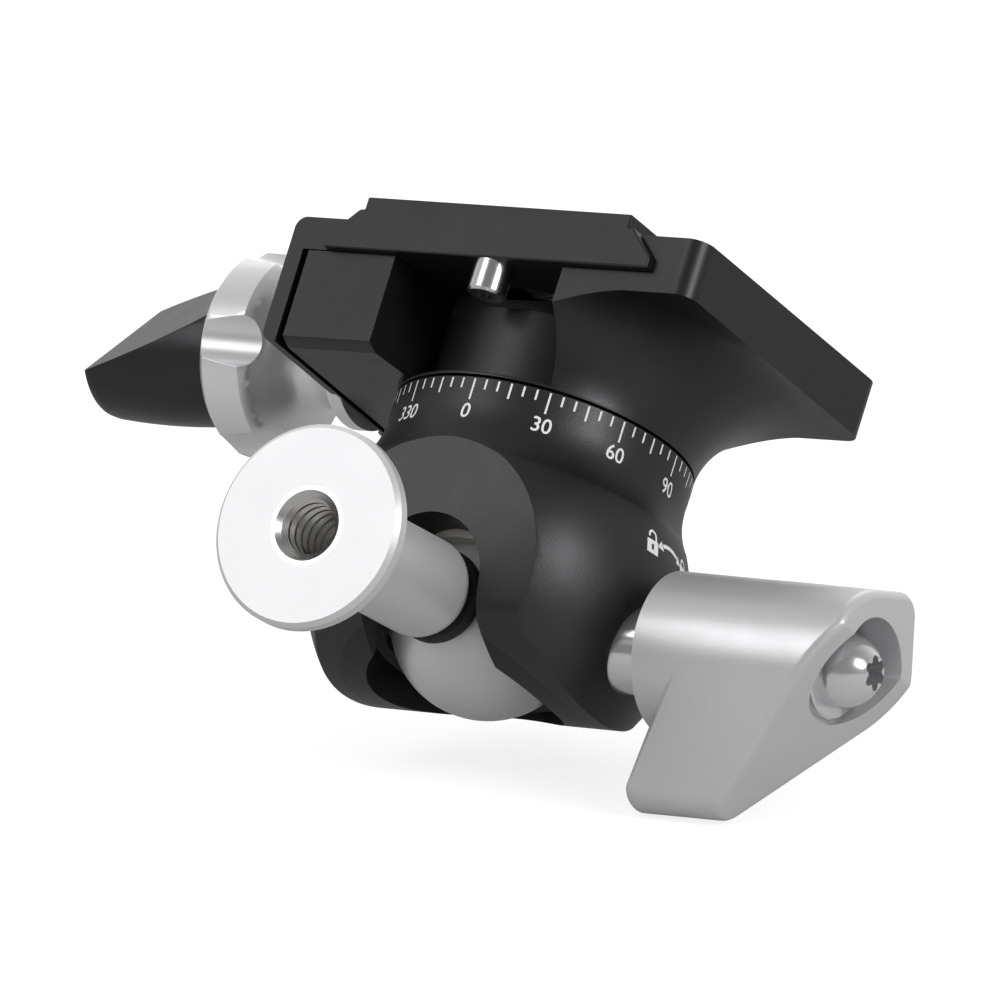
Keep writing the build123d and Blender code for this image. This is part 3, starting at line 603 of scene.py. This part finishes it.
# %% [markdown]
# ## The dial
#
# The housing's neck is marked in degrees all the way round: a short line each five
# degrees, longer at fifteen and longest at thirty, with a number under the longest. One
# line is laid at the front and spun round the pan axis. Each is then pressed on to the
# neck with a Shrinkwrap modifier, so that the ink follows the metal's curve.

# %% Degree lines
ink_lift = 0.02
line_width = 0.2
line_reach = 15.2            # just outside the neck


def press_on(piece, node):
    """Lay a flat piece of ink on the surface of a machined one."""
    wrap = piece.modifiers.new("press", "SHRINKWRAP")
    wrap.target = nodes[node]
    wrap.wrap_mode = "ABOVE_SURFACE"
    wrap.offset = ink_lift * MM
    only(piece)
    bpy.ops.object.modifier_apply(modifier="press")
    piece.data.materials.clear()
    piece.data.materials.append(dial_ink)
    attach(piece, body_of_node[node])
    print(piece.name, len(piece.data.polygons), "faces")


def degree_lines(every_deg, top_mm, foot_mm):
    """Lines round the neck, between two depths below the seam."""
    middle = seam_centre + Vector((0, -line_reach * MM, -(top_mm + foot_mm) / 2 * MM))
    bpy.ops.mesh.primitive_plane_add(size=MM, location=middle, rotation=(pi / 2, 0, 0))
    lines = bpy.context.object
    lines.name = f"lines_every_{every_deg}"
    only(lines)
    bpy.ops.object.mode_set(mode="EDIT")
    bpy.ops.mesh.select_all(action="SELECT")
    bpy.ops.transform.resize(value=(line_width, 1, foot_mm - top_mm))
    bpy.ops.mesh.subdivide(number_cuts=2)
    bpy.ops.mesh.spin(
        steps=360 // every_deg, dupli=True, angle=2 * pi, center=seam_centre, axis=(0, 0, 1)
    )
    bpy.ops.mesh.select_all(action="SELECT")
    bpy.ops.mesh.remove_doubles(threshold=weld_gap)
    bpy.ops.object.mode_set(mode="OBJECT")
    bpy.ops.object.transform_apply(location=True, rotation=True, scale=True)
    press_on(lines, "housing")


line_ends = {5: (0.15, 1.2), 15: (1.2, 1.75), 30: (1.75, 2.35)}    # depths below the seam
for every, (line_top, line_foot) in line_ends.items():
    degree_lines(every, line_top, line_foot)


# %% [markdown]
# ## Dial numbers
#
# Text is turned into a mesh while it lies flat, because only a mesh can be pressed on
# to the neck. Zero faces the tripod side, and the numbers grow towards the lock lever.

# %% Numbers
number_size = 2.15
number_bold = 0.02
number_reach = 15.4          # just outside the neck
number_drop = 3.6            # below the seam


def facing(degrees, lean_deg=0):
    """The turn and the way out of something that faces away from the pan axis."""
    way, lean = radians(degrees), radians(lean_deg)
    out = Vector((sin(way) * cos(lean), -cos(way) * cos(lean), sin(lean)))
    right = Vector((cos(way), sin(way), 0))
    return Matrix((right, out.cross(right), out)).transposed().to_4x4(), out


def number_on_neck(degrees):
    """One number of the dial."""
    bpy.ops.object.text_add(location=(0, 0, 0))
    text = bpy.context.object
    text.data.body = str(degrees)
    text.data.align_x = "CENTER"
    text.data.align_y = "CENTER"
    text.data.size = number_size * MM
    text.data.offset = number_bold * MM
    text.data.resolution_u = 4
    only(text)
    bpy.ops.object.convert(target="MESH")
    number = bpy.context.object
    number.name = f"number_{degrees}"
    turn, out = facing(degrees)
    middle = seam_centre + out * number_reach * MM - up * number_drop * MM
    put(number, Matrix.Translation(middle) @ turn)
    press_on(number, "housing")


for degrees in range(0, 360, 30):
    number_on_neck(degrees)

# %% [markdown]
# ## Padlocks above the lever
#
# Two small padlocks with a double-headed arrow between them say which way the lever
# locks the ball. They are plain shapes: a body of four bars round a bare keyhole, half a
# ring and two posts for the shackle, and an arc between two arrowheads. Each is drawn
# flat about the middle of the mark, then all are pressed on to the housing together.

# %% Flat shapes for the padlocks
grid_steps = 4
arc_steps = 16


def flat_bar(width_mm, height_mm, at):
    """A flat bar, cut into a grid so that it can follow a round surface."""
    bpy.ops.mesh.primitive_grid_add(
        x_subdivisions=grid_steps, y_subdivisions=grid_steps, size=MM,
        location=(at[0] * MM, at[1] * MM, 0),
    )
    bar = bpy.context.object
    only(bar)
    bpy.ops.object.mode_set(mode="EDIT")
    bpy.ops.mesh.select_all(action="SELECT")
    bpy.ops.transform.resize(value=(width_mm, height_mm, 1))
    bpy.ops.object.mode_set(mode="OBJECT")
    bpy.ops.object.transform_apply(location=True, rotation=True, scale=True)
    return bar


def flat_arc(middle, reach_mm, thick_mm, start_deg, sweep_deg):
    """An arc of ink: a short edge is spun about a point in the plane."""
    bpy.ops.mesh.primitive_plane_add(size=MM, location=(0, 0, 0))
    bpy.context.tool_settings.mesh_select_mode = (True, False, False)
    arc = bpy.context.object
    start = radians(start_deg)
    spoke = Vector((cos(start), sin(start), 0))
    centre = Vector((middle[0], middle[1], 0)) * MM
    inner = centre + spoke * (reach_mm - thick_mm / 2) * MM
    outer = centre + spoke * (reach_mm + thick_mm / 2) * MM
    only(arc)
    bpy.ops.object.mode_set(mode="EDIT")
    bpy.ops.mesh.select_all(action="SELECT")
    bpy.ops.mesh.merge(type="CENTER")
    bpy.ops.mesh.extrude_region_move(TRANSFORM_OT_translate={"value": outer - inner})
    bpy.ops.mesh.select_all(action="SELECT")
    bpy.ops.transform.translate(value=inner)
    bpy.ops.mesh.spin(steps=arc_steps, angle=-radians(sweep_deg), center=centre, axis=(0, 0, 1))
    bpy.ops.object.mode_set(mode="OBJECT")
    return arc


def flat_head(tip, way_deg, size_mm):
    """An arrow's head: a three-cornered disc turned to point along its way."""
    bpy.ops.mesh.primitive_circle_add(
        vertices=3, radius=size_mm * MM, fill_type="TRIFAN",
        location=(tip[0] * MM, tip[1] * MM, 0), rotation=(0, 0, radians(way_deg - 90)),
    )
    head = bpy.context.object
    only(head)
    bpy.ops.object.transform_apply(location=True, rotation=True, scale=True)
    return head


# %% A padlock, open or shut
body_wide, body_high = 1.8, 1.45
hole_wide, hole_high = 0.36, 0.6
shackle_reach, shackle_thick = 0.55, 0.28
post_shut, post_open, post_free = 0.2, 0.45, 0.15


def padlock(at, shut):
    """A body with its keyhole left bare, and a shackle that is lifted when open."""
    x, y = at
    side = (body_wide - hole_wide) / 2
    band = (body_high - hole_high) / 2
    top = y + body_high / 2
    post = post_shut if shut else post_open
    free_post = post_shut if shut else post_free
    return [
        flat_bar(body_wide, band, (x, y - (body_high - band) / 2)),
        flat_bar(body_wide, band, (x, y + (body_high - band) / 2)),
        flat_bar(side, hole_high, (x - (body_wide - side) / 2, y)),
        flat_bar(side, hole_high, (x + (body_wide - side) / 2, y)),
        flat_arc((x, top + post), shackle_reach, shackle_thick, 0, 180),
        flat_bar(shackle_thick, post, (x + shackle_reach, top + post / 2)),
        flat_bar(shackle_thick, free_post, (x - shackle_reach, top + post - free_post / 2)),
    ]


# %% Draw the mark and press it on the belly
padlock_side, padlock_low = 3.3, -0.6
arrow_reach, arrow_top, arrow_sweep = 3.9, 0.5, 44
arrow_thick, head_size, head_lean = 0.42, 0.62, 25
head_past = 6                # degrees from the arc's end to the head's middle
mark_out = 17.7              # from the pan axis
mark_drop = 10.4             # below the seam
mark_turn, mark_lean = 90, 18    # degrees round the pan axis, and up

arrow_centre = arrow_top - arrow_reach
head_turn = radians(arrow_sweep / 2 + head_past)
head_side = arrow_reach * sin(head_turn)
head_high = arrow_centre + arrow_reach * cos(head_turn)
open_padlock = padlock((-padlock_side, padlock_low), shut=False)
shut_padlock = padlock((padlock_side, padlock_low), shut=True)
arrow = [
    flat_arc((0, arrow_centre), arrow_reach, arrow_thick, 90 - arrow_sweep / 2, arrow_sweep),
    flat_head((-head_side, head_high), 180 + head_lean, head_size),
    flat_head((head_side, head_high), -head_lean, head_size),
]
only(*open_padlock, *shut_padlock, *arrow)
bpy.ops.object.join()
lock_marks = bpy.context.object
lock_marks.name = "lock_marks"
turn, _ = facing(mark_turn, mark_lean)
put(lock_marks, Matrix.Translation(seam_centre + Vector((mark_out, 0, -mark_drop)) * MM) @ turn)
press_on(lock_marks, "housing")

# %% [markdown]
# ## The studio
#
# The photograph is a product shot on white, taken from a little below the clamp with a
# long lens, so an orthographic camera matches it. The pan axis leans in the frame, so
# the floor is square to the photographer's upright and not to that axis.

# %% Camera
frame_width = 96.4
frame_right, frame_up = -4.289, -5.648   # the frame's middle, from the pan seam's
camera_away = 600

photo_right = Vector((0.854, 0.4386, 0.2795)).normalized()
photo_view = Vector((-0.5145, 0.797, 0.3173)).normalized()
photo_up = photo_right.cross(photo_view).normalized()
photo_right = photo_view.cross(photo_up)
middle = seam_centre + photo_right * frame_right * MM + photo_up * frame_up * MM
camera_data = bpy.data.cameras.new("portrait")
camera_data.type = "ORTHO"
camera_data.ortho_scale = frame_width * MM
camera_data.clip_start = 0.01
camera_data.clip_end = 20
camera = bpy.data.objects.new("portrait", camera_data)
bpy.context.collection.objects.link(camera)
turn = Matrix((photo_right, photo_up, -photo_view)).transposed()
camera.matrix_world = Matrix.Translation(middle - photo_view * camera_away * MM) @ turn.to_4x4()
bpy.context.scene.camera = camera
print("camera looks along", [round(c, 3) for c in photo_view])

# %% [markdown]
# ## Floor and light
#
# The floor is plain white paper. Seen by the camera it glows, so that it comes out white
# while the shadow stays; in a mirror it glows only a little. From below it is clear.
# A wide soft lamp stands high on the left, a small strong one in front on the right, and
# a weak one behind. Bright metal needs something dark to mirror, or it looks like paint.
# So in reflections the surround is dark on the camera's side and white behind the head.

# %% Floor
floor_size = 12000
floor_gap = 0.2
paper_grey = 0.32
paper_glow = {"Is Camera Ray": 0.80, "Is Glossy Ray": 0.20, "Is Transmission Ray": 0.80}

look_down = radians(12)
floor_way = (photo_up * cos(look_down) - photo_view * sin(look_down)).normalized()
lowest = min(floor_way.dot(v.co) for o in nodes.values() for v in o.data.vertices)
bpy.ops.mesh.primitive_plane_add(size=floor_size * MM)
floor = bpy.context.object
floor.name = "paper_floor"
floor.matrix_world = along(floor_way * (lowest - floor_gap * MM), floor_way)
paper = bpy.data.materials.new("white_paper")
paper.use_nodes = True
tree = paper.node_tree
tree.nodes.remove(tree.nodes["Principled BSDF"])
matte = tree.nodes.new("ShaderNodeBsdfDiffuse")
matte.inputs["Color"].default_value = (paper_grey, paper_grey, paper_grey, 1)
glow = tree.nodes.new("ShaderNodeEmission")
path = tree.nodes.new("ShaderNodeLightPath")
level = None
for kind, strength in paper_glow.items():
    share = tree.nodes.new("ShaderNodeMath")
    share.operation = "MULTIPLY_ADD"
    share.inputs[1].default_value = strength
    share.inputs[2].default_value = 0.0
    tree.links.new(path.outputs[kind], share.inputs[0])
    if level:
        tree.links.new(level, share.inputs[2])
    level = share.outputs[0]
tree.links.new(level, glow.inputs["Strength"])
both = tree.nodes.new("ShaderNodeAddShader")
tree.links.new(matte.outputs[0], both.inputs[0])
tree.links.new(glow.outputs[0], both.inputs[1])
clear = tree.nodes.new("ShaderNodeBsdfTransparent")
side = tree.nodes.new("ShaderNodeNewGeometry")
sides = tree.nodes.new("ShaderNodeMixShader")
tree.links.new(side.outputs["Backfacing"], sides.inputs[0])
tree.links.new(both.outputs[0], sides.inputs[1])
tree.links.new(clear.outputs[0], sides.inputs[2])
tree.links.new(sides.outputs[0], tree.nodes["Material Output"].inputs["Surface"])
floor.data.materials.append(paper)
print("floor", round(lowest / MM, 2), "mm along its own way")

# %% Surround
room_light = 0.72
studio_dark, studio_white = 0.22, 1.0
dark_until, white_from = -0.4, 1.0       # along the camera's view

world = bpy.data.worlds.new("pale_surround")
bpy.context.scene.world = world
world.use_nodes = True
tree = world.node_tree
sky = tree.nodes["Background"]
sky.inputs["Color"].default_value = (1, 1, 1, 1)
path = tree.nodes.new("ShaderNodeLightPath")
ray = tree.nodes.new("ShaderNodeTexCoord")
ahead = tree.nodes.new("ShaderNodeVectorMath")
ahead.operation = "DOT_PRODUCT"
ahead.inputs[1].default_value = photo_view
tree.links.new(ray.outputs["Generated"], ahead.inputs[0])
studio = tree.nodes.new("ShaderNodeMapRange")
studio.inputs["From Min"].default_value = dark_until
studio.inputs["From Max"].default_value = white_from
studio.inputs["To Min"].default_value = studio_dark
studio.inputs["To Max"].default_value = studio_white
tree.links.new(ahead.outputs["Value"], studio.inputs["Value"])
mirrored = tree.nodes.new("ShaderNodeMapRange")
mirrored.inputs["To Min"].default_value = room_light
tree.links.new(path.outputs["Is Glossy Ray"], mirrored.inputs["Value"])
tree.links.new(studio.outputs["Result"], mirrored.inputs["To Max"])
level = mirrored.outputs["Result"]
for kind in ("Is Camera Ray", "Is Transmission Ray"):
    brighter = tree.nodes.new("ShaderNodeMath")
    brighter.operation = "MAXIMUM"
    tree.links.new(level, brighter.inputs[0])
    tree.links.new(path.outputs[kind], brighter.inputs[1])
    level = brighter.outputs[0]
tree.links.new(level, sky.inputs["Strength"])
print("surround", room_light, "for matt surfaces,", studio_dark, "to", studio_white, "in mirrors")

# %% Lamps
def soft_lamp(name, right, high, near, size, power):
    """A square lamp that faces the head; its place and size are in metres."""
    lamp_data = bpy.data.lights.new(name, "AREA")
    lamp_data.size = size
    lamp_data.energy = power
    lamp = bpy.data.objects.new(name, lamp_data)
    bpy.context.collection.objects.link(lamp)
    from_head = photo_right * right + photo_up * high - photo_view * near
    lamp.matrix_world = along(middle + from_head, from_head)
    print(name, power, "watts")


soft_lamp("key_lamp", right=-0.60, high=0.42, near=0.38, size=0.42, power=1.65)
soft_lamp("front_lamp", right=0.50, high=0.26, near=0.58, size=0.26, power=2.4)
soft_lamp("back_lamp", right=0.10, high=0.60, near=-0.50, size=0.45, power=0.5)
